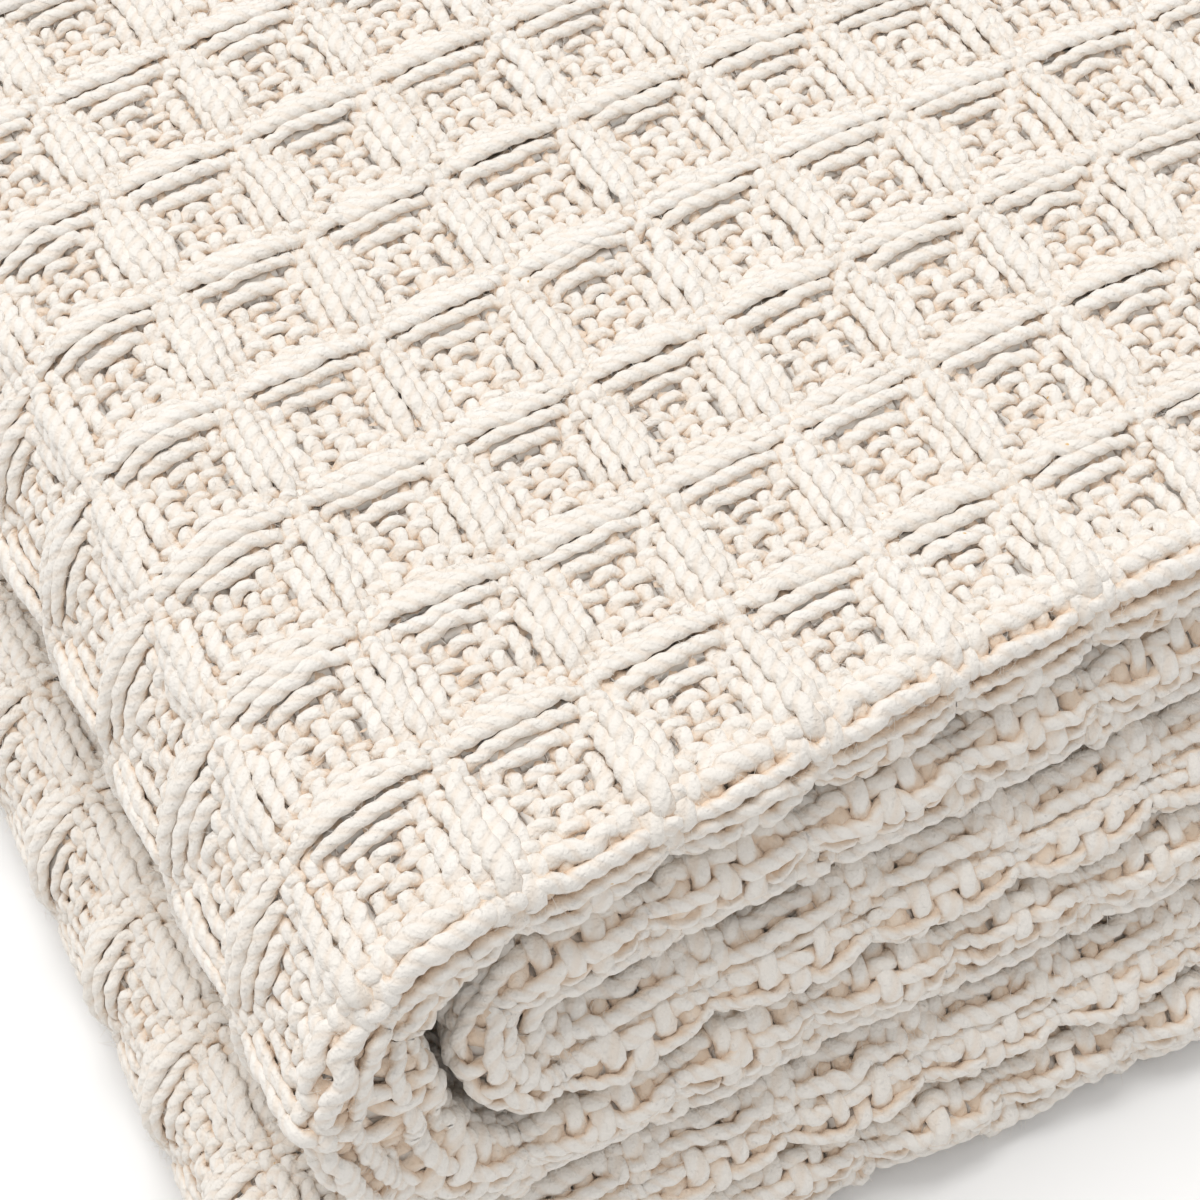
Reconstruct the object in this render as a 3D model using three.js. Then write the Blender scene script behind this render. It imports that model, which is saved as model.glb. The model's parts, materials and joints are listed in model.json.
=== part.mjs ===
// A folded cotton throw, in millimetres, +Z up.
// The cloth is folded in three across its width, which makes a long strip of three plies.
// The strip is then folded along its length into six layers, joined by five bends.
// Layers, from the bottom: bottom, lower, middle, end, inner, top.
// Left is -X and right is +X. The strip's plies turn at -Y and +Y.

import * as THREE from "three";

// Driving dimensions.
const CLOTH_LENGTH = 1520; // along the strip, end hem to end hem
const CLOTH_WIDTH = 1270; // selvedge to selvedge
const STRIP = 10; // thickness of three plies
const GAP = 0.3; // clearance kept between pieces and between plies
const LOWER_OVERHANG = 18.2; // how far the two lowest layers reach left of the rest
const NOSE_SETBACK = 8.3; // how far the inner left bend stands back inside the outer one
const RIGHT_SETBACK = 4; // how far the upper right bend stands back from the lower one
const HEM_SETBACK = 2; // how far the bottom layer's hem stands back from its bend
const END_SETBACK = 6; // how far the buried end hem stands back from the lower right bend

const PLY = STRIP / 3;
const LAYERS = 6;
const ARC_STEPS = 14; // facets in a half turn
const TURN_STEPS = 6; // facets in a ply's turn at a long side

// Lengths that the bends take out of the strip, at its middle.
const SMALL_RADIUS = STRIP / 2;
const LARGE_RADIUS = STRIP * 1.5;
const BENT_LENGTH = Math.PI * (4 * SMALL_RADIUS + LARGE_RADIUS);

// Straight runs. The right end of the two layers that the lower right bend joins is found
// from the length of the cloth, with the left end of the upper layers at 0 for now.
const SETBACKS =
  HEM_SETBACK + END_SETBACK + 2 * RIGHT_SETBACK + 2 * NOSE_SETBACK - 2 * LOWER_OVERHANG;
const RUN = (CLOTH_LENGTH - BENT_LENGTH + SETBACKS) / LAYERS;
const RUN_LEFT = -LOWER_OVERHANG - STRIP;
const RUN_RIGHT = RUN + STRIP;
const CENTRE_X = (RUN_LEFT + RUN_RIGHT) / 2;

const LEFT_LOWER = -LOWER_OVERHANG - CENTRE_X;
const LEFT_UPPER = -CENTRE_X;
const LEFT_NOSE = NOSE_SETBACK - CENTRE_X;
const RIGHT_LOWER = RUN - CENTRE_X;
const RIGHT_UPPER = RIGHT_LOWER - RIGHT_SETBACK;
const RIGHT_HEM = RIGHT_LOWER - HEM_SETBACK;
const RIGHT_END = RIGHT_LOWER - END_SETBACK;

// Half of the straight part of a ply across the strip, between its two turns.
const HALF_PLY = (CLOTH_WIDTH - Math.PI * PLY) / 6;

const COTTON = { color: 0xeee7dc, roughness: 0.95, metalness: 0 };

// Height of the middle of a layer, counted from 0 at the bottom.
const layerZ = (index) => (index + 0.5) * STRIP - GAP / 2;

// Points on an arc in the section, from one angle to another, in radians.
function arc(y, h, radius, from, to) {
  const points = [];
  for (let i = 0; i <= TURN_STEPS; i++) {
    const a = from + ((to - from) * i) / TURN_STEPS;
    points.push(new THREE.Vector2(y + radius * Math.cos(a), h + radius * Math.sin(a)));
  }
  return points;
}

// The section of the strip: y across it, h through its thickness, positive to its outer face.
// One ply zigzags: outer ply, turn at +Y, middle ply, turn at -Y, inner ply.
function stripSection() {
  const q = Math.PI / 2;
  const half = PLY / 2;
  const slit = GAP / 2;
  const clockwise = [
    new THREE.Vector2(-HALF_PLY, STRIP / 2 - slit),
    ...arc(HALF_PLY, half, PLY - slit, q, -q),
    ...arc(-HALF_PLY, -half, slit, q, 3 * q),
    new THREE.Vector2(HALF_PLY, -half - slit),
    new THREE.Vector2(HALF_PLY, slit - STRIP / 2),
    ...arc(-HALF_PLY, -half, PLY - slit, 3 * q, q),
    ...arc(HALF_PLY, half, slit, -q, q),
    new THREE.Vector2(-HALF_PLY, half + slit),
  ];
  return clockwise.reverse();
}

// Sweeps the section through stations of the strip: {x, z} is the strip's middle and
// {nx, nz} points to its outer face. The result is one closed body.
function sweep(stations) {
  const section = stripSection();
  const count = section.length;
  const positions = [];
  stations.forEach((s) =>
    section.forEach((p) => positions.push(s.x + s.nx * p.y, p.x, s.z + s.nz * p.y)),
  );
  const index = [];
  for (let s = 0; s + 1 < stations.length; s++)
    for (let i = 0; i < count; i++) {
      const a = s * count + i;
      const b = s * count + ((i + 1) % count);
      index.push(a, b, b + count, a, b + count, a + count);
    }
  const last = (stations.length - 1) * count;
  THREE.ShapeUtils.triangulateShape(section, []).forEach(([a, b, c]) => {
    index.push(a, c, b);
    index.push(last + a, last + b, last + c);
  });
  const geometry = new THREE.BufferGeometry();
  geometry.setAttribute("position", new THREE.Float32BufferAttribute(positions, 3));
  geometry.setIndex(index);
  if (signedVolume(geometry) < 0) geometry.setIndex(index.reverse());
  geometry.computeVertexNormals();
  return geometry;
}

function signedVolume(geometry) {
  const p = geometry.getAttribute("position");
  const [a, b, c] = [new THREE.Vector3(), new THREE.Vector3(), new THREE.Vector3()];
  let six = 0;
  for (let i = 0; i < geometry.index.count; i += 3) {
    a.fromBufferAttribute(p, geometry.index.getX(i));
    b.fromBufferAttribute(p, geometry.index.getX(i + 1));
    c.fromBufferAttribute(p, geometry.index.getX(i + 2));
    six += a.dot(b.cross(c));
  }
  return six / 6;
}

// A straight layer between two values of x. outer is 1 if its outer face looks up.
function layer(name, index, left, right, outer) {
  const z = layerZ(index);
  const stations = [left + GAP, right - GAP].map((x) => ({ x, z, nx: 0, nz: outer }));
  return cloth(name, sweep(stations));
}

// A half turn joining two layers. side is -1 at the left and 1 at the right. outward is 1 if
// the strip's outer face is on the outside of the turn.
function bend(name, x, low, high, side, outward) {
  const middle = (layerZ(low) + layerZ(high)) / 2;
  const radius = (layerZ(high) - layerZ(low)) / 2;
  const stations = [];
  for (let i = 0; i <= ARC_STEPS; i++) {
    const a = (Math.PI * i) / ARC_STEPS;
    const [across, up] = [side * Math.sin(a), -Math.cos(a)];
    stations.push({
      x: x + radius * across,
      z: middle + radius * up,
      nx: outward * across,
      nz: outward * up,
    });
  }
  return cloth(name, sweep(stations));
}

function cloth(name, geometry) {
  const mesh = new THREE.Mesh(geometry, new THREE.MeshStandardMaterial(COTTON));
  mesh.name = name;
  return mesh;
}

// The two lowest layers, joined at the left.
function lowerPair() {
  return [
    layer("bottom_layer", 0, LEFT_LOWER, RIGHT_HEM, -1),
    bend("lower_left_bend", LEFT_LOWER, 0, 1, -1, 1),
    layer("lower_layer", 1, LEFT_LOWER, RIGHT_LOWER, 1),
    bend("lower_right_bend", RIGHT_LOWER, 1, 2, 1, -1),
  ];
}

// The four upper layers: the pair on top closes over the pair below it, left bend in left bend.
function upperFour() {
  return [
    layer("middle_layer", 2, LEFT_UPPER, RIGHT_LOWER, -1),
    layer("end_layer", 3, LEFT_NOSE, RIGHT_END, 1),
    bend("outer_left_bend", LEFT_UPPER, 2, 5, -1, 1),
    bend("inner_left_bend", LEFT_NOSE, 3, 4, -1, -1),
    layer("inner_layer", 4, LEFT_NOSE, RIGHT_UPPER, -1),
    layer("top_layer", 5, LEFT_UPPER, RIGHT_UPPER, 1),
    bend("upper_right_bend", RIGHT_UPPER, 4, 5, 1, 1),
  ];
}

const throwBlanket = new THREE.Group();
throwBlanket.name = "folded_throw";
throwBlanket.add(...lowerPair(), ...upperFour());

export default throwBlanket;
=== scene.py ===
# Looks for the folded throw: every layer and bend of the CAD strip is rebuilt as woven cloth.
# The cloth is folded in three across its width (v) and then along its length (u), so one mapping
# from the weave, yarn i along u and yarn j along v, to space places all of it.

import json
import math

import bpy
import numpy as np
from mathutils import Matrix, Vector


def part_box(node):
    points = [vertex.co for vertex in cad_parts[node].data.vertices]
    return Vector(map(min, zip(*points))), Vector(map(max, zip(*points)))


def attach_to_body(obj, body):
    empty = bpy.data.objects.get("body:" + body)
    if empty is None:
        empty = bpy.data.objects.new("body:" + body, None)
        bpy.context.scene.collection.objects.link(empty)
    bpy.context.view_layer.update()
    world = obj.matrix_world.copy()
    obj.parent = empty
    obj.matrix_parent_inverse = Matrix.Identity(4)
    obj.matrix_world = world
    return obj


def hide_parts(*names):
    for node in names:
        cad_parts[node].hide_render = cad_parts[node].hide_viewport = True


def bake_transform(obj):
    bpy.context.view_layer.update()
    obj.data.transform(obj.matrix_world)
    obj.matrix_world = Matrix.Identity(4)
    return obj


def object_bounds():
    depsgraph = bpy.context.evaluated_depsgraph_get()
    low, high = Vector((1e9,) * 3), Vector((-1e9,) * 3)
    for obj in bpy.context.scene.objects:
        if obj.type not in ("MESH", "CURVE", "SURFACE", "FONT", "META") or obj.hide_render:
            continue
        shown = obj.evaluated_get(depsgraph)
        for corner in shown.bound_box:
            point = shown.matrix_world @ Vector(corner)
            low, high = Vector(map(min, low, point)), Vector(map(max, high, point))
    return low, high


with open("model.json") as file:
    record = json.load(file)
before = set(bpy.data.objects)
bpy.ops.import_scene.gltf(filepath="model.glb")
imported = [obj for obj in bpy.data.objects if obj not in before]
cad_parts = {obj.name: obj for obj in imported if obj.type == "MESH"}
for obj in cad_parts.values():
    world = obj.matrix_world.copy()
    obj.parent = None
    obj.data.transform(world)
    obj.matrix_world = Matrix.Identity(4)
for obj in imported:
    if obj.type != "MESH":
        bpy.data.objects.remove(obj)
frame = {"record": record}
CAD_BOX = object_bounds()

# ---------------------------------------------------------------- the strip, read from the CAD

GAP = 0.0003  # clearance between CAD solids
PATH = [
    "bottom_layer",
    "lower_left_bend",
    "lower_layer",
    "lower_right_bend",
    "middle_layer",
    "outer_left_bend",
    "top_layer",
    "upper_right_bend",
    "inner_layer",
    "inner_left_bend",
    "end_layer",
]
LOW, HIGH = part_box("bottom_layer")
STRIP = HIGH.z - LOW.z + GAP  # three plies
PLY = STRIP / 3
HALF_PLY = HIGH.y - PLY + GAP / 2  # half the straight width of a ply
PLY_WIDTH = 2 * HALF_PLY
TURN = math.pi * PLY / 2  # a ply's turn at a long side
CLOTH_WIDTH = 3 * PLY_WIDTH + 2 * TURN

# ---------------------------------------------------------------- the weave

CELL_U, CELL_V = 8, 10  # yarns in a waffle cell, counted along and across the strip
YARNS_ACROSS = 847
PITCH_V = CLOTH_WIDTH / YARNS_ACROSS
PITCH_U = PITCH_V * CELL_V / CELL_U
BUNCH_U, BUNCH_V = -0.36, -0.12  # how far yarns crowd to the ridges (-) or the floor (+)
FIRST_COLUMN = 0.0033  # from the left end of the top layer to its first ridge
YARN_WIDE = (0.00070, 0.00082)  # half width, of a yarn along the strip and one across it
YARN_THICK = 0.00055  # half thickness
BLOOM = 0.22  # how much thicker a yarn gets where it floats
CROSSING = 0.00046  # how far a yarn's middle stands from the cloth's middle where it crosses
RELIEF = 0.0015  # ridge to floor of a cell
RELIEF_REACH = 0.0058  # distance from a ridge to the floor
CROWN = 0.0008  # half width of the level crown of a ridge
FLOAT_LIFT = (0.00028, 0.00022, 0.00012)  # of a ridge's middle yarn and those beside it
FLOAT_GATHER = (0.0, 0.10, 0.10)  # how far they draw together, in yarns
TWIST_LAY = 0.0034  # length of one turn of a yarn's twist
TWIST_DEPTH = 0.12  # how deep the grooves of the twist are, as a share of a yarn's radius
TURN_SWELL = 0.30  # how much fuller a yarn gets where the cloth turns round a long side
CREST = 0.16  # share of a crossing over which a yarn stays level
LOOP_REACH = 0.75  # how far the turning yarns stand out of a selvedge, in yarns
CURL = 0.0040  # width of the front selvedge that curls down, and its radius
CURL_RADIUS = CURL / math.radians(164)
FORWARD = 0.0051  # how far the front of ply A is drawn out over the folds below it, on top
FORWARD_BELOW = 0.0028  # and in the layers under it
FIBRES = 3.0  # loose fibre ends for each crossing, where the camera is close
FIBRE_RADIUS = 0.000026
RIDGE_ROWS = 2  # yarns on each side of a ridge's middle one that float with it
ROUGH_HEIGHT = 0.00009  # random height and sideways shift, in yarns, at each crossing
ROUGH_SHIFT = 0.10
WANDER_SWELL = 0.13  # how far a yarn's thickness, height and sideways place wander along it
WANDER_HEIGHT = 0.00008
WANDER_SHIFT = 0.11

# Ply A has its own count of yarns along the strip; plies B and C share another. A family's
# height is where in the strip's thickness its yarns are counted.
FAMILY_HEIGHT = {"outer": PLY, "inner": -PLY / 2}

rng = np.random.default_rng(7)
NOISE = rng.standard_normal((4, 256, 256))
PHASES = rng.random((2, 4096, 6)) * math.tau


def ridge_distance(index, cell):
    """Distance, in yarns, to the nearest ridge, and its side. Ridges are at multiples of cell."""
    offset = np.mod(index + cell / 2, cell) - cell / 2
    return np.abs(offset), np.sign(offset)


def weft_over(i, j):
    """True where the yarn along the strip lies over the yarn across it: a pointed draft, whose
    floats get shorter towards the middle of a cell."""
    di, _ = ridge_distance(i, CELL_U)
    dj, _ = ridge_distance(j, CELL_V)
    odd = np.mod(di + dj, 2) == 1
    return (di >= dj + 2) | (odd & (dj < di + 2))


def float_share(d_along, d_across, begin, half):
    """0 at the ends of a float and 1 at its middle, for the yarns of a ridge."""
    first = np.round(d_across) + begin
    share = np.clip((d_along - first) / (half - first), 0, 1)
    return np.where(d_across < RIDGE_ROWS + 0.5, np.sin(share * math.pi / 2), 0)


def relief(i, j):
    """Height of the cloth's middle: high along the ridges, low on a cell's floor."""
    di, _ = ridge_distance(i, CELL_U)
    dj, _ = ridge_distance(j, CELL_V)
    beyond = np.minimum(di * PITCH_U, dj * PITCH_V) - CROWN
    far = np.clip(beyond / (RELIEF_REACH - CROWN), 0, 1)
    return RELIEF * ((1 - far) ** 2 - 0.5)


# ---------------------------------------------------------------- from the weave to space


def strip_segments():
    """The strip's middle, piece by piece, from the bottom layer's hem to the buried end."""
    segments = []
    outer = -1
    going = -1
    for name in PATH:
        low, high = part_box(name)
        if name.endswith("_layer"):
            left, right = low.x - GAP, high.x + GAP
            start, end = (left, right) if going > 0 else (right, left)
            segments.append(
                {
                    "name": name,
                    "z": (low.z + high.z) / 2,
                    "start": start,
                    "end": end,
                    "outer": outer,
                    "radius": 0,
                }
            )
            outer = -outer
        else:
            segments.append({"name": name, "side": going})
            going = -going
    for before, bend, after in zip(segments, segments[1:], segments[2:]):
        if "side" in bend:
            climb = 1 if after["z"] > before["z"] else -1
            bend["climb"] = climb
            bend["outward"] = -before["outer"] * climb
            bend["x"] = before["end"]
            bend["z"] = (before["z"] + after["z"]) / 2
            bend["radius"] = abs(after["z"] - before["z"]) / 2
    return segments


SEGMENTS = strip_segments()
NUMBER = {s["name"]: k for k, s in enumerate(SEGMENTS)}


def segment_length(s, family):
    """Length of a piece of the strip, at the height its yarns are counted."""
    if s["radius"]:
        return math.pi * (s["radius"] + s["outward"] * FAMILY_HEIGHT[family])
    return abs(s["end"] - s["start"])


STARTS = {
    f: np.concatenate([[0], np.cumsum([segment_length(s, f) for s in SEGMENTS])])
    for f in FAMILY_HEIGHT
}
ORIGIN = {f: STARTS[f][NUMBER["top_layer"]] + FIRST_COLUMN for f in FAMILY_HEIGHT}


def index_range(name, family):
    """First and last yarn index of a piece."""
    k = NUMBER[name]
    return [int(round((STARTS[family][n] - ORIGIN[family]) / PITCH_U)) for n in (k, k + 1)]


BEND_SPREAD = 1.15  # how much looser plies B and C lie in the large bend
BEND_DROP = 0.0005  # how far they fall in from ply A there
NOSE_REACH = 0.0030  # how far the nested bend is drawn into the large one
NOSE_PULL = 0.050  # length of layer that gives way to it


def strip_point(u, family):
    """Middle of the strip, the direction to its outer face, how loose the plies lie and how
    far ply A is drawn forward."""
    x, z, nx, nz, loose = (np.zeros_like(u) for _ in range(5))
    forward = np.full_like(u, FORWARD_BELOW)
    last = len(SEGMENTS) - 1
    which = np.clip(np.searchsorted(STARTS[family], u, side="right") - 1, 0, last)
    for k, s in enumerate(SEGMENTS):
        m = which == k
        if not m.any():
            continue
        share = (u[m] - STARTS[family][k]) / segment_length(s, family)
        if s["radius"]:
            a = share * math.pi
            across, up = s["side"] * np.sin(a), -s["climb"] * np.cos(a)
            x[m] = s["x"] + s["radius"] * across
            z[m] = s["z"] + s["radius"] * up
            nx[m] = s["outward"] * across
            nz[m] = s["outward"] * up
            if s["name"] == "outer_left_bend":
                loose[m] = np.sin(a) ** 2 * (1 + 0.3 * np.cos(a))
                forward[m] += (FORWARD - FORWARD_BELOW) * smooth(share * 1.5)
            if s["name"] == "upper_right_bend":
                forward[m] += (FORWARD - FORWARD_BELOW) * smooth(1 - share)
            if s["name"] == "inner_left_bend":
                x[m] -= NOSE_REACH
        else:
            x[m] = s["start"] + share * (s["end"] - s["start"])
            z[m] = s["z"]
            nz[m] = s["outer"]
            if s["name"] == "top_layer":
                forward[m] = FORWARD
            if s["name"] in ("inner_layer", "end_layer"):
                left = min(s["start"], s["end"])
                x[m] -= NOSE_REACH * smooth(1 - (x[m] - left) / NOSE_PULL)
    return x, z, nx, nz, loose, forward


def section_point(v, forward):
    """Place in the strip's section, y across and h through it, and the cloth's front there."""
    y, h, ny, nh = (np.zeros_like(v) for _ in range(4))
    b_start = PLY_WIDTH + TURN
    c_start = 2 * (PLY_WIDTH + TURN)
    m = v < PLY_WIDTH
    bent = np.maximum(CURL - v[m], 0) / CURL_RADIUS
    flat = np.maximum(v[m], CURL)
    y[m] = flat - forward[m] * (1 - flat / PLY_WIDTH) - HALF_PLY - CURL_RADIUS * np.sin(bent)
    h[m] = PLY - CURL_RADIUS * (1 - np.cos(bent))
    ny[m], nh[m] = -np.sin(bent), np.cos(bent)
    m = (v >= PLY_WIDTH) & (v < b_start)
    a = (v[m] - PLY_WIDTH) / TURN * math.pi
    y[m], h[m] = HALF_PLY + PLY / 2 * np.sin(a), PLY / 2 * (1 + np.cos(a))
    ny[m], nh[m] = np.sin(a), np.cos(a)
    m = (v >= b_start) & (v < b_start + PLY_WIDTH)
    y[m], h[m], nh[m] = HALF_PLY - (v[m] - b_start), 0, -1
    m = (v >= b_start + PLY_WIDTH) & (v < c_start)
    a = (v[m] - b_start - PLY_WIDTH) / TURN * math.pi
    y[m], h[m] = -HALF_PLY - PLY / 2 * np.sin(a), PLY / 2 * (np.cos(a) - 1)
    ny[m], nh[m] = np.sin(a), -np.cos(a)
    m = v >= c_start
    y[m], h[m], nh[m] = v[m] - c_start - HALF_PLY, -PLY, 1
    return y, h, ny, nh


LEAN = 0.0080  # how far the top of the stack sits back from its middle
SKEW = 0.0055  # how far the lower layers turn forwards, right of the near corner
TOP_SKEW = 0.0034  # how far the top layer turns back there
SKEW_START, SKEW_END = -0.115, -0.020
TOP = CAD_BOX[1].z
FRONT = CAD_BOX[0].y


def smooth(t):
    """0 up to t = 0, 1 from t = 1, and an even change between."""
    t = np.clip(t, 0, 1)
    return t * t * (3 - 2 * t)


def relax(p):
    """The stack as it lies by hand: leaning, a little skewed, waved. The same everywhere, so
    that layers move together. A wave is amount * sin(place / length + phase)."""
    x, y, z = p[..., 0], p[..., 1], p[..., 2]
    height = z / TOP
    lean = LEAN * (2 * height - 0.93)
    skew = SKEW * (1 - height) - TOP_SKEW * height**2
    skew *= smooth((x - SKEW_START) / (SKEW_END - SKEW_START))
    wave_y = 0.0009 * np.sin(x / 0.0110 + 5.0 * height) * height * (1 - height) * 2
    wave_y += 0.0006 * np.sin(x / 0.0230 + 1.0 + 3.0 * height)
    wave_x = 0.0008 * np.sin(y / 0.0210 + 2.0) + 0.0006 * np.sin(y / 0.0390 + 0.5)
    wave_z = 0.0006 * np.sin(x / 0.0270 + 0.6) * np.sin(y / 0.0330 + 0.4)
    wave_z += 0.0004 * np.sin(x / 0.0140 + y / 0.0190)
    front = smooth((FRONT + 0.030 - y) / 0.025)
    wave_y += 0.0004 * np.sin(x / 0.0041 + z * 330) * (1 - height) * front
    wave_z += 0.0004 * np.sin(x / 0.0053 - z * 260) * (1 - height) * front
    out = np.empty_like(p)
    out[..., 0] = x + wave_x * height
    out[..., 1] = y + lean - skew + wave_y
    out[..., 2] = z + (wave_z - 0.0006) * height
    return out


def place(i, j, height, family):
    """Point of the cloth at yarn i along the strip and yarn j across it, and its front."""
    u = i + BUNCH_U * np.sin(i / CELL_U * math.tau)
    v = j + 0.5 + BUNCH_V * np.sin(j / CELL_V * math.tau)
    x, z, nx, nz, loose, forward = strip_point(u * PITCH_U + ORIGIN[family], family)
    y, h, ny, nh = section_point(v * PITCH_V, forward)
    drop = BEND_DROP * smooth((PLY - h) / PLY) - BEND_SPREAD * np.minimum(h, 0)
    h = h - loose * drop
    normal = np.stack([nx * nh, ny, nz * nh], -1)
    point = np.stack([x + nx * h, y, z + nz * h], -1)
    return relax(point + normal * height[..., None]), normal


# ---------------------------------------------------------------- yarns


def wander(kind, yarn, along, scale):
    """A smooth random line for each yarn, between about -scale and scale."""
    phase = PHASES[kind][np.mod(yarn, 4096).astype(int)]
    total = 0
    for k, wave in enumerate((3.1, 7.3, 17.0)):
        total = total + np.sin(along / wave + phase[..., k]) / 1.8
    return total * scale


def speckle(layer, i, j):
    """A random number for each crossing, the same wherever it is asked for."""
    return NOISE[layer][np.mod(np.round(i), 256).astype(int), np.mod(np.round(j), 256).astype(int)]


def crossing_values(kind, i, j):
    """Height, sideways shift in yarns, and bloom of a yarn at whole crossings."""
    di, si = ridge_distance(i, CELL_U)
    dj, sj = ridge_distance(j, CELL_V)
    over = weft_over(i, j)
    if kind == 0:
        on_top, across, side = over, dj, sj
        share = float_share(di, dj, 0.5, CELL_U / 2)
    else:
        on_top, across, side = ~over, di, si
        share = float_share(dj, di, 1.5, CELL_V / 2)
    place_in_ridge = np.minimum(np.round(across), RIDGE_ROWS).astype(int)
    lift = np.take(FLOAT_LIFT, place_in_ridge) * share * on_top
    height = relief(i, j) + np.where(on_top, CROSSING, -CROSSING) + lift
    height = height + ROUGH_HEIGHT * speckle(kind, i, j)
    shift = -side * np.take(FLOAT_GATHER, place_in_ridge) * share * on_top
    shift = shift + ROUGH_SHIFT * speckle(2 + kind, i, j)
    return height, shift, share * on_top


def yarn_paths(kind, yarns, first, last, steps, selvedges):
    """Paths in the weave of a set of yarns, and their thickness, with one sample more than
    asked for at each end. Kind 0 runs along the strip, kind 1 across it. Selvedges are pairs of
    an edge and the way into the cloth: there the yarns turn back in twos."""
    along = np.arange(first * steps - 1, last * steps + 2) / steps
    yarn, along = np.meshgrid(yarns.astype(float), along, indexing="ij")
    floor, ceiling = np.floor(along), np.ceil(along)
    part = smooth((along - floor - CREST) / (1 - 2 * CREST))

    def at(position):
        i, j = (position, yarn) if kind == 0 else (yarn, position)
        return crossing_values(kind, i, j)

    height, shift, bloom = (a + (b - a) * part for a, b in zip(at(floor), at(ceiling)))
    swell = 1 + BLOOM * bloom + wander(kind, yarn + 700, along * 2.1, WANDER_SWELL)
    height = height + wander(kind, yarn, along * 1.3, WANDER_HEIGHT)
    shift = shift + wander(kind, yarn + 1500, along, WANDER_SHIFT)
    for edge, way in selvedges:
        beyond = np.clip(way * (edge - along), 0, 1.1) * math.pi / 2
        pair = np.where(np.mod(yarn, 2) == 0, 0.5, -0.5)
        shift = shift * np.cos(beyond) + pair * (1 - np.cos(beyond))
        height = height * np.cos(beyond)
        along = np.where(beyond > 0, edge - way * LOOP_REACH * np.sin(beyond), along)
    return yarn, along, height, shift, swell


def turning(v):
    """1 where the cloth turns round a long side, 0 away from there."""
    middles = (0, PLY_WIDTH + TURN / 2, 2 * PLY_WIDTH + 1.5 * TURN)
    nearest = np.min([np.abs(v - middle) for middle in middles], axis=0)
    return smooth(1.6 - nearest / TURN)


def rings(centre, front, sides):
    """For each point of a set of paths, the two directions across them at each side."""
    forward = np.gradient(centre, axis=1)
    forward /= np.linalg.norm(forward, axis=-1, keepdims=True) + 1e-12
    side = np.cross(front, forward)
    side /= np.linalg.norm(side, axis=-1, keepdims=True) + 1e-12
    up = np.cross(forward, side)
    angle = np.arange(sides) / sides * math.tau
    return side[:, :, None, :] * np.cos(angle)[:, None], up[:, :, None, :] * np.sin(angle)[:, None]


def fullness(sides):
    """Makes a yarn of few sides as thick as the yarns that are close to the camera."""
    near = NEAR[0] * math.sin(math.tau / NEAR[0])
    return math.sqrt(near / (sides * math.sin(math.tau / sides)))


def tubes(kind, yarns, first, last, sides, steps, family, selvedges=()):
    """Vertices (yarns, samples, sides) of a set of yarns, and two values for the material:
    twist, which is depth, lobes of the twist and their slope, and tone. The material paints
    shade where the depth is small and in the grooves between the lobes. Yarns with fewer sides
    than the near ones are too coarse to show their twist in shape."""
    yarn, along, height, shift, swell = yarn_paths(kind, yarns, first, last, steps, selvedges)
    if kind == 0:
        centre, front = place(along, yarn + shift, height, family)
    else:
        centre, front = place(yarn + shift, along, height, family)
    across, up = rings(centre, front, sides)
    angle = np.arange(sides) / sides * math.tau
    length = along[..., None] * (PITCH_V if kind else PITCH_U)
    turned = angle - length / TWIST_LAY * math.tau - PHASES[kind][yarns % 4096, 5][:, None, None]
    lobes = np.cos(2 * turned)
    full = fullness(sides) * swell * (1 + TURN_SWELL * turning((along if kind else yarn) * PITCH_V))
    radius = full[..., None] * (1 + TWIST_DEPTH * lobes * (sides == NEAR[0]))
    ring = (across * YARN_WIDE[kind] + up * YARN_THICK) * radius[..., None]
    points = centre[:, :, None, :] + ring
    shape = points.shape[:3]
    i, j = (along, yarn) if kind == 0 else (yarn, along)
    # How far the yarn's surface stands from the cloth's middle: where this is small, the material
    # paints shade.
    stand = (height - relief(i, j))[..., None] + radius * YARN_THICK * np.sin(angle)
    twist = np.stack(
        [
            np.abs(stand) / (CROSSING + YARN_THICK),
            np.broadcast_to(lobes, shape),
            np.broadcast_to(np.sin(2 * turned), shape),
        ],
        -1,
    )
    tone = PHASES[kind][yarns % 4096, 4] / math.tau
    tone = np.broadcast_to(tone[:, None, None], shape)
    return points[:, 1:-1], twist[:, 1:-1], tone[:, 1:-1]


def fibres(family, i_range, j_range):
    """Loose fibre ends: thin tapering hairs that lie on the yarns or stand out of them."""
    samples = 4
    (i0, i1), (j0, j1) = i_range, j_range
    count = int((i1 - i0) * (j1 - j0) * FIBRES)
    random = rng.random((8, count, 1))
    t = np.linspace(0, 1, samples)
    heading = random[2] * math.tau + (random[3] - 0.5) * 3.0 * t
    length = 0.0006 + 0.0018 * random[4] ** 2
    i = i0 + random[0] * (i1 - i0) + length * t * np.cos(heading) / PITCH_U
    j = j0 + random[1] * (j1 - j0) + length * t * np.sin(heading) / PITCH_V
    start = relief(i[:, :1], j[:, :1]) + CROSSING + YARN_THICK * 0.4
    height = start + 0.0015 * random[5] ** 2 * t + 0.0004 * np.sin(math.pi * t) * random[6]
    centre, front = place(i, j, height, family)
    across, up = rings(centre, front, 3)
    points = centre[:, :, None, :] + (across + up) * (FIBRE_RADIUS * (1.1 - t))[:, None, None]
    # Depth and lobe at 1, so that no shade is painted on the fibres.
    twist = np.broadcast_to(np.array([1.0, 1.0, 0.0]), points.shape)
    return points, twist, np.broadcast_to(random[7][:, :, None], points.shape[:3])


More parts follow.
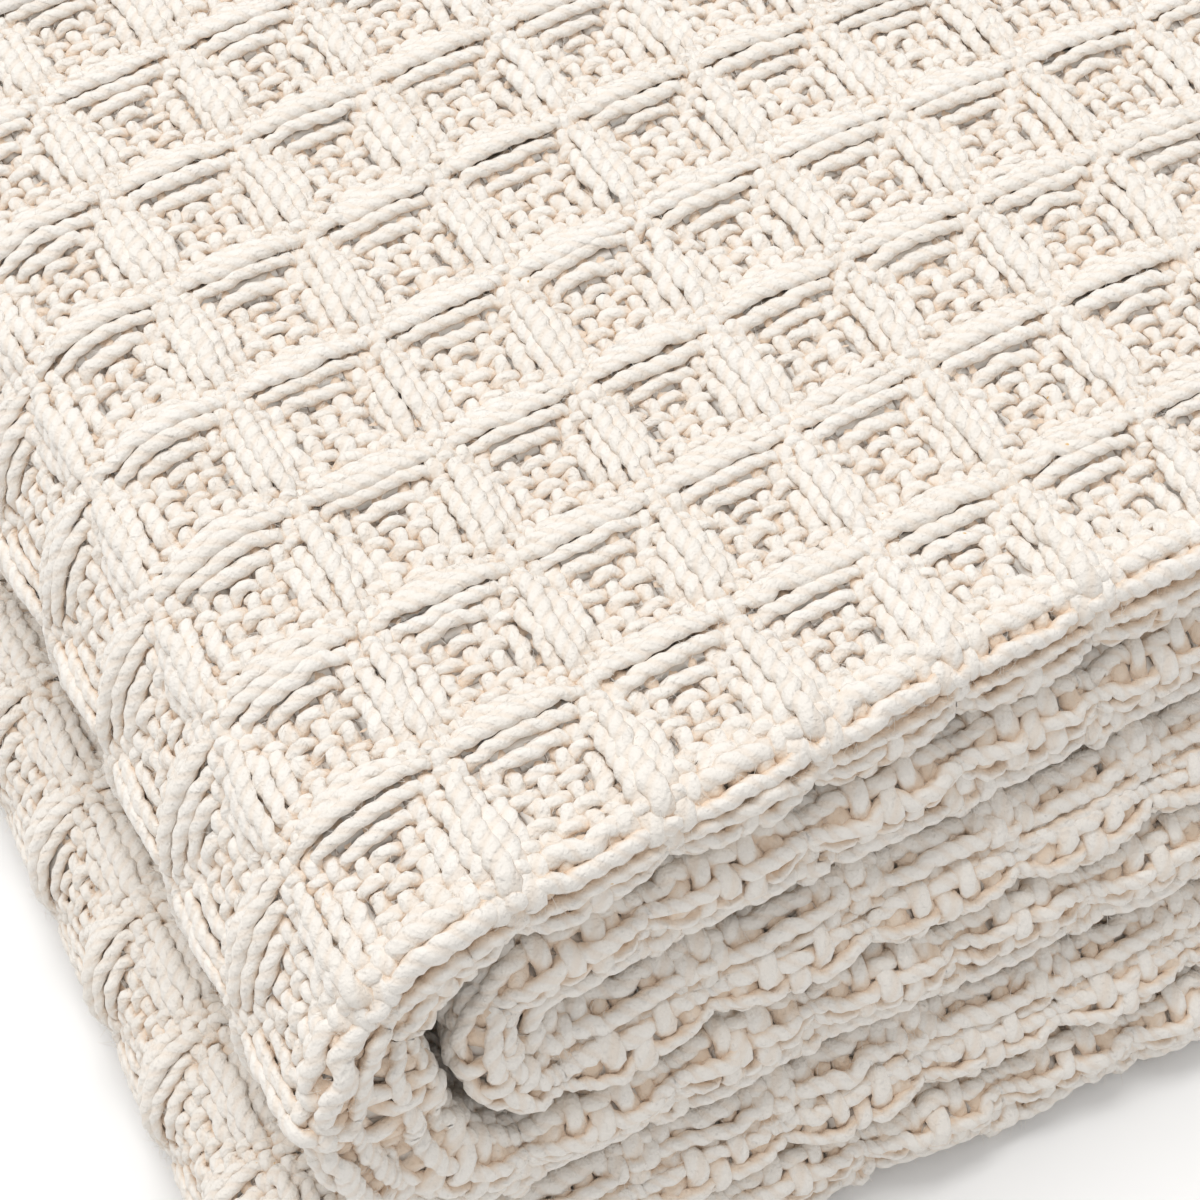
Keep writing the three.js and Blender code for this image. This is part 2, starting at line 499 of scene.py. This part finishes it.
def tube_faces(count, samples, sides, offset):
    """Quads between neighbouring rings. A tube's ends stay open."""
    index = np.arange(count * samples * sides).reshape(count, samples, sides) + offset
    a = index[:, :-1, :]
    b = index[:, 1:, :]
    quads = np.stack([a, np.roll(a, -1, 2), np.roll(b, -1, 2), b], -1)
    return quads.reshape(-1, 4)


class YarnMesh:
    """Collects tubes and makes one mesh object of them."""

    def __init__(self, name):
        self.name, self.parts, self.faces, self.count = name, [], [], 0

    def add(self, points, twist, tone):
        self.faces.append(tube_faces(*points.shape[:3], self.count))
        flat = points.reshape(-1, 3)
        self.parts.append((flat, twist.reshape(-1, 3), tone.reshape(-1)))
        self.count += len(flat)

    def build(self, material):
        points, twist, tone = (np.concatenate([p[k] for p in self.parts]) for k in range(3))
        obj = quad_mesh(self.name, points, np.concatenate(self.faces), material)
        give(obj, "twist", "FLOAT_VECTOR", "vector", twist)
        give(obj, "tone", "FLOAT", "value", tone)
        return obj


def quad_mesh(name, points, faces, material):
    mesh = bpy.data.meshes.new(name)
    mesh.vertices.add(len(points))
    mesh.vertices.foreach_set("co", points.astype(np.float32).ravel())
    mesh.loops.add(faces.size)
    mesh.loops.foreach_set("vertex_index", faces.astype(np.int32).ravel())
    mesh.polygons.add(len(faces))
    mesh.polygons.foreach_set("loop_start", np.arange(0, faces.size, 4, dtype=np.int32))
    mesh.update(calc_edges=True)
    mesh.shade_smooth()
    obj = bpy.data.objects.new(name, mesh)
    bpy.context.scene.collection.objects.link(obj)
    mesh.materials.append(material)
    return obj


def give(obj, name, kind, field, values):
    """Adds a value for each vertex that the materials read."""
    attribute = obj.data.attributes.new(name, kind, "POINT")
    attribute.data.foreach_set(field, values.astype(np.float32).ravel())


def weave(mesh, family, i_range, j_range, sides, steps):
    """Both sets of yarns over a rectangle of the weave."""
    (i0, i1), (j0, j1) = i_range, j_range
    if i1 <= i0 or j1 <= j0:
        return
    mesh.add(*tubes(0, np.arange(j0, j1), i0, i1, sides, steps, family))
    selvedges = []
    low, high = j0, j1
    if j0 == 0:
        selvedges.append((0, 1))
        low = -1
    if j1 == YARNS_ACROSS:
        selvedges.append((YARNS_ACROSS - 1, -1))
    mesh.add(*tubes(1, np.arange(i0, i1), low, high, sides, steps, family, selvedges))
    if sides == NEAR[0]:
        mesh.add(*fibres(family, i_range, j_range))


# ---------------------------------------------------------------- the cloth under the yarns


# The sheet shows through the gaps between the yarns, and its material paints shade into the holes
# there.
def cloth_sheet(name, material):
    """One piece's share of the cloth as a single sheet: ply A, turn, ply B, turn, ply C."""
    k = NUMBER[name]
    fine, coarse = 2 * PITCH_V, 8 * PITCH_V
    b_start, c_start = PLY_WIDTH + TURN, 2 * (PLY_WIDTH + TURN)
    v = np.concatenate(
        [
            np.arange(0, b_start, fine),
            np.arange(b_start, c_start - TURN, coarse),
            np.arange(c_start - TURN, CLOTH_WIDTH, fine / 2),
            [CLOTH_WIDTH],
        ]
    )
    v = v[np.concatenate([[True], np.diff(v) > 1e-5])]
    longest = max(segment_length(SEGMENTS[k], f) for f in FAMILY_HEIGHT)
    share = np.linspace(0, 1, max(3, int(longest / fine) + 1))
    points, weave_at = [], []
    for family, mask in (("outer", v < b_start + 0.01), ("inner", v >= b_start + 0.01)):
        ends = [(STARTS[family][n] - ORIGIN[family]) / PITCH_U for n in (k, k + 1)]
        i, j = np.meshgrid(ends[0] + share * (ends[1] - ends[0]), v[mask] / PITCH_V - 0.5)
        point, _ = place(i, j, relief(i, j), family)
        points.append(point)
        weave_at.append(np.stack([i, j, np.zeros_like(i)], -1))
    points, weave_at = np.concatenate(points), np.concatenate(weave_at)
    rows, columns = points.shape[:2]
    index = np.arange(rows * columns).reshape(rows, columns)
    a, b, c, d = index[:-1, :-1], index[:-1, 1:], index[1:, 1:], index[1:, :-1]
    faces = np.stack([a, b, c, d], -1).reshape(-1, 4)
    obj = quad_mesh(name + "_cloth", points.reshape(-1, 3), faces, material)
    give(obj, "weave", "FLOAT_VECTOR", "vector", weave_at.reshape(-1, 3))
    return obj


# ---------------------------------------------------------------- materials


class Nodes:
    """Short way to write a node tree."""

    def __init__(self, name):
        self.material = bpy.data.materials.new(name)
        self.material.use_nodes = True
        self.tree = self.material.node_tree
        self.shader = self.tree.nodes["Principled BSDF"]

    def new(self, kind, **settings):
        node = self.tree.nodes.new(kind)
        for key, value in settings.items():
            setattr(node, key, value)
        return node

    def set(self, socket, value):
        if isinstance(value, bpy.types.NodeSocket):
            self.tree.links.new(value, socket)
        else:
            socket.default_value = value

    def math(self, operation, a, b=0.0, c=0.0, clamp=False):
        node = self.new("ShaderNodeMath", operation=operation, use_clamp=clamp)
        for socket, value in zip(node.inputs, (a, b, c)):
            self.set(socket, value)
        return node.outputs[0]

    def attribute(self, name, output):
        return self.new("ShaderNodeAttribute", attribute_name=name).outputs[output]

    def split(self, vector):
        node = self.new("ShaderNodeSeparateXYZ")
        self.set(node.inputs[0], vector)
        return node.outputs

    def noise(self, scale, detail=3.0, vector=None):
        node = self.new("ShaderNodeTexNoise")
        node.inputs["Scale"].default_value = scale
        node.inputs["Detail"].default_value = detail
        if vector is None:
            vector = self.new("ShaderNodeTexCoord").outputs["Object"]
        self.set(node.inputs["Vector"], vector)
        return node.outputs["Fac"]

    def mix(self, factor, a, b):
        node = self.new("ShaderNodeMix", data_type="RGBA")
        self.set(node.inputs["Factor"], factor)
        self.set(node.inputs["A"], a)
        self.set(node.inputs["B"], b)
        return node.outputs["Result"]

    def blend(self, factor, a, b):
        return self.math("MULTIPLY_ADD", factor, self.math("SUBTRACT", b, a), a)

    def ramp(self, value, low, high):
        node = self.new("ShaderNodeMapRange", interpolation_type="SMOOTHSTEP")
        self.set(node.inputs["Value"], value)
        node.inputs["From Min"].default_value = low
        node.inputs["From Max"].default_value = high
        return node.outputs["Result"]

    def bump(self, height, strength, distance, normal=None):
        node = self.new("ShaderNodeBump")
        node.inputs["Strength"].default_value = strength
        node.inputs["Distance"].default_value = distance
        self.set(node.inputs["Height"], height)
        if normal is not None:
            self.set(node.inputs["Normal"], normal)
        return node.outputs["Normal"]


CREAM = (0.87, 0.815, 0.745, 1)
PALE = (0.94, 0.905, 0.86, 1)
# Painted shade: the warm tan the yarns take in their twist grooves and deep in the weave.
SHADE_TAN = (0.80, 0.62, 0.46, 1)
# Painted shade: the brown of the holes between the yarns on the cloth sheet.
HOLE_SHADE = (0.62, 0.43, 0.29, 1)
FLECK = (0.72, 0.44, 0.14, 1)


def flecks(n, colour):
    """Sparse specks of seed husk in undyed cotton."""
    speck = n.ramp(n.noise(900.0, 1.0), 0.80, 0.83)
    patch = n.ramp(n.noise(120.0, 1.0), 0.50, 0.60)
    return n.mix(n.math("MULTIPLY", speck, patch), colour, FLECK)


def cotton(shader):
    shader.inputs["Roughness"].default_value = 0.92
    shader.inputs["Specular IOR Level"].default_value = 0.25
    shader.inputs["Sheen Weight"].default_value = 0.35
    shader.inputs["Sheen Roughness"].default_value = 0.5
    shader.inputs["Sheen Tint"].default_value = (1.0, 0.97, 0.92, 1)


def yarn_material():
    """Soft two-ply cotton yarn, with shade painted into its twist grooves and where it lies deep in
    the weave.
    """
    n = Nodes("cotton_yarn")
    depth, lobe, slope = n.split(n.attribute("twist", "Vector"))
    tone = n.attribute("tone", "Fac")
    groove = n.ramp(lobe, -1.0, 0.2)
    fibres = n.noise(2200.0, 3.0)
    lumps = n.noise(1000.0, 2.0)
    soft = n.noise(420.0, 3.0)
    shade = n.math("MULTIPLY_ADD", soft, 0.6, n.math("MULTIPLY", tone, 0.35), clamp=True)
    colour = n.mix(shade, CREAM, PALE)
    # Painted shade: the yarn darkens towards tan in the grooves of its twist.
    colour = n.mix(n.math("MULTIPLY", n.math("SUBTRACT", 1.0, groove), 0.28), colour, SHADE_TAN)
    # Painted shade: the yarn turns tan where it lies deep in the cloth, in the crevices between
    # crossings.
    crevice_shade = n.ramp(depth, 0.85, 0.10)
    colour = n.mix(n.math("MULTIPLY", crevice_shade, 0.8), colour, SHADE_TAN)
    n.set(n.shader.inputs["Base Color"], flecks(n, colour))
    strand = n.math("ADD", n.math("MULTIPLY", slope, 4.0), n.math("MULTIPLY", lobe, 3.0))
    strand = n.math("SINE", n.math("ADD", strand, n.math("MULTIPLY", soft, 9.0)))
    twist = n.bump(groove, 0.40, 0.00015, n.bump(lumps, 0.7, 0.0004))
    strands = n.bump(strand, 0.10, 0.00006, twist)
    n.set(n.shader.inputs["Normal"], n.bump(fibres, 0.8, 0.00025, strands))
    cotton(n.shader)
    return n.material


def weave_material():
    """The same cloth where its yarns aren't modelled: the draft is worked out per point, and shade
    is painted into the holes between the yarns.
    """
    n = Nodes("cotton_weave")
    i, j, _ = n.split(n.attribute("weave", "Vector"))
    wi, wj = n.math("ROUND", i), n.math("ROUND", j)
    fi, fj = n.math("SUBTRACT", i, wi), n.math("SUBTRACT", j, wj)

    def distance(whole, cell):
        moved = n.math("FLOORED_MODULO", n.math("ADD", whole, cell / 2), float(cell))
        return n.math("ABSOLUTE", n.math("SUBTRACT", moved, cell / 2))

    di, dj = distance(wi, CELL_U), distance(wj, CELL_V)
    weft = n.math("GREATER_THAN", di, n.math("ADD", dj, 1.5))
    warp = n.math("GREATER_THAN", dj, n.math("ADD", di, 1.5))
    odd = n.math("GREATER_THAN", n.math("FLOORED_MODULO", n.math("ADD", di, dj), 2.0), 0.5)
    plain = n.math("MULTIPLY", odd, n.math("SUBTRACT", 1.0, warp))
    over = n.math("MAXIMUM", weft, plain)
    round_j = n.math("COSINE", n.math("MULTIPLY", fj, math.pi))
    round_i = n.math("COSINE", n.math("MULTIPLY", fi, math.pi))
    across = n.blend(over, round_i, round_j)
    along = n.math("MAXIMUM", n.blend(over, round_j, round_i), n.math("MAXIMUM", weft, warp))
    height = n.math("MULTIPLY", across, along)
    # Painted shade: the holes between crossings are coloured brown.
    painted_hole = n.ramp(height, 0.45, 0.05)
    colour = n.mix(n.noise(350.0), CREAM, PALE)
    colour = n.mix(n.math("MULTIPLY", painted_hole, 0.5), colour, HOLE_SHADE)
    n.set(n.shader.inputs["Base Color"], flecks(n, colour))
    relief_bump = n.bump(n.math("POWER", height, 0.5), 1.0, 0.0014)
    n.set(n.shader.inputs["Normal"], n.bump(n.noise(2600.0), 0.35, 0.00015, relief_bump))
    cotton(n.shader)
    return n.material


# ---------------------------------------------------------------- camera, light and floor


CAMERA_WAY = (-28.2, 53.6)  # azimuth and elevation of the camera, in degrees
CAMERA_DISTANCE = 0.2403
CAMERA_LENS = 81.8
TARGET_IN = (0.0228, 0.0301)  # from the top layer's near corner to what the camera looks at


def look_along(azimuth, elevation):
    """Unit vector to a place around the object. Azimuth 0 is in front of it."""
    a, e = math.radians(azimuth), math.radians(elevation)
    return Vector((math.sin(a) * math.cos(e), -math.cos(a) * math.cos(e), math.sin(e)))


def add_camera():
    """Close over the corner where the large bend meets the front."""
    top_low, top_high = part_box("top_layer")
    target = Vector((top_low.x + TARGET_IN[0], top_low.y + TARGET_IN[1], top_high.z))
    camera = bpy.data.objects.new("camera", bpy.data.cameras.new("camera"))
    bpy.context.scene.collection.objects.link(camera)
    away = look_along(*CAMERA_WAY)
    camera.location = target + away * CAMERA_DISTANCE
    camera.rotation_euler = (-away).to_track_quat("-Z", "Y").to_euler()
    camera.data.lens = CAMERA_LENS
    camera.data.clip_start = 0.01
    bpy.context.scene.camera = camera


def add_area(name, azimuth, elevation, distance, size, power, colour):
    data = bpy.data.lights.new(name, "AREA")
    data.shape = "DISK"
    data.size = size
    data.energy = power
    data.color = colour
    lamp = bpy.data.objects.new(name, data)
    bpy.context.scene.collection.objects.link(lamp)
    away = look_along(azimuth, elevation)
    lamp.location = away * distance
    lamp.rotation_euler = (-away).to_track_quat("-Z", "Y").to_euler()


def add_floor():
    size = 6.0
    corners = np.array([[-size, -size, 0], [size, -size, 0], [size, size, 0], [-size, size, 0]])
    n = Nodes("floor")
    pale, white = (0.93, 0.93, 0.93, 1), (0.95, 0.95, 0.95, 1)
    n.set(n.shader.inputs["Base Color"], n.mix(n.noise(2.0), pale, white))
    n.shader.inputs["Roughness"].default_value = 0.8
    floor = quad_mesh("floor", corners, np.array([[0, 1, 2, 3]]), n.material)
    floor.location.z = -0.0006


STUDIO_LIGHT = 0.62  # strength of the even light all round


def add_stage():
    add_floor()
    world = bpy.data.worlds.new("studio")
    bpy.context.scene.world = world
    world.use_nodes = True
    background = world.node_tree.nodes["Background"]
    background.inputs["Color"].default_value = (1.0, 1.0, 1.0, 1)
    background.inputs["Strength"].default_value = STUDIO_LIGHT
    add_area(
        "key",
        azimuth=-150,
        elevation=76,
        distance=1.6,
        size=1.0,
        power=16,
        colour=(1.0, 0.99, 0.975),
    )
    bpy.context.scene.view_settings.view_transform = "Standard"


# ---------------------------------------------------------------- putting it together

BODY = {
    n: body for body, nodes in frame["record"]["behaviour"]["bodies"].items() for n in nodes
}
NEAR_TOP_X = 0.030  # the camera sees the top as far right as this
NEAR_FRONT_X = -0.020  # and the front as far as this
NEAR_J = 80  # yarns modelled finely in from the front of a ply that shows
EDGE_J = 12  # yarns modelled in from a ply's edge where the ply is covered
BACK_EDGE = 16  # and round the turn at the back
NEAR = (8, 4)  # sides of a yarn and steps per crossing where the camera is close
FAR = (4, 2)  # and elsewhere
NEAR_CHUNK, FAR_CHUNK = 48, 400  # columns of yarns in one mesh
MIDDLE = round((PLY_WIDTH * 2 + 1.5 * TURN) / PITCH_V)  # the yarn at the fold of plies B and C
BACK_TURN = round((PLY_WIDTH + TURN / 2) / PITCH_V)  # the yarn at the fold of plies A and B


def index_at(name, family, x):
    """The yarn index where a layer reaches x; for a bend, its end on that side."""
    s = SEGMENTS[NUMBER[name]]
    first, last = index_range(name, family)
    if s["radius"]:
        return (first, last)[s["side"] > 0]
    share = (x - s["start"]) / (s["end"] - s["start"])
    return int(round(first + np.clip(share, 0, 1) * (last - first)))


def near_split(name, family, x):
    """The piece's index range split at x: the near part, left of it, and the far part."""
    first, last = index_range(name, family)
    s = SEGMENTS[NUMBER[name]]
    if s["radius"]:
        return ((first, last), (last, last)) if s["side"] < 0 else ((first, first), (first, last))
    cut = index_at(name, family, x)
    if s["end"] > s["start"]:
        return (first, cut), (cut, last)
    return (cut, last), (first, cut)


def chunks(i_range, size):
    first, last = i_range
    return [(a, min(a + size, last)) for a in range(first, last, size)]


def patches(name):
    """(family, near or far, i range, j range) of the yarns that one piece shows."""
    found = []
    front_x = NEAR_TOP_X if name == "top_layer" else NEAR_FRONT_X
    near, far = near_split(name, "outer", front_x)
    back = BACK_TURN + BACK_EDGE // 2
    if name in ("top_layer", "outer_left_bend", "lower_left_bend"):
        found += [("outer", NEAR, near, (0, NEAR_J)), ("outer", FAR, near, (NEAR_J, back))]
        found += [("outer", FAR, far, (0, back))]
    elif name == "upper_right_bend":
        found += [("outer", FAR, far, (0, back))]
    else:
        found += [("outer", NEAR, near, (0, EDGE_J)), ("outer", FAR, far, (0, EDGE_J))]
        found += [("outer", FAR, index_range(name, "outer"), (back - BACK_EDGE, back))]
    if name == "lower_layer":
        strip = near_split(name, "outer", SEGMENTS[NUMBER["outer_left_bend"]]["x"] + 0.004)[0]
        found += [("outer", NEAR, strip, (EDGE_J, NEAR_J))]
        found += [("outer", FAR, strip, (NEAR_J, back - BACK_EDGE))]
    near, far = near_split(name, "inner", NEAR_FRONT_X)
    fold = (MIDDLE - EDGE_J, MIDDLE + EDGE_J)
    found += [("inner", NEAR, near, fold), ("inner", FAR, far, fold)]
    if name == "lower_right_bend":
        found += [("inner", FAR, far, (fold[1], YARNS_ACROSS))]
    else:
        edge = (YARNS_ACROSS - EDGE_J, YARNS_ACROSS)
        found += [("inner", FAR, index_range(name, "inner"), edge)]
    return found


# The bodies that a bend joins, and the least height, in strips, over which it gives above and
# below its middle. Only the bends' names are read: these pieces are left fixed, bound to no body.
BLENDS = {
    "outer_left_bend": ("middle_pair", "top_pair", 1.0),
    "inner_left_bend": ("middle_pair", "top_pair", 0.15),
    "lower_right_bend": ("lower_sheet", "middle_pair", 0.15),
    "lower_left_bend": ("bottom_sheet", "lower_sheet", 0.15),
}


def attach(obj, name):
    """Rides on the piece's body; a bend listed in BLENDS is left where it is built, bound to no
    body.
    """
    if name not in BLENDS:
        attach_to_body(obj, BODY[name])
        return
    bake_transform(obj)


def build_piece(name, yarn, cloth):
    """A piece's sheet and yarns, bound to its body, except for the bends listed in BLENDS."""
    sheet = cloth_sheet(name, cloth)
    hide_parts(name)
    yarns = []
    for family, quality, i_range, j_range in patches(name):
        size = NEAR_CHUNK if quality == NEAR else FAR_CHUNK
        for part in chunks(i_range, size):
            mesh = YarnMesh(f"{name}_yarns_{len(yarns) + 1:02d}")
            weave(mesh, family, part, j_range, *quality)
            if mesh.parts:
                yarns.append(mesh.build(yarn))
    for obj in [sheet, *yarns]:
        attach(obj, name)


add_camera()
add_stage()
YARN = yarn_material()
CLOTH = weave_material()
for piece in PATH:
    build_piece(piece, YARN, CLOTH)
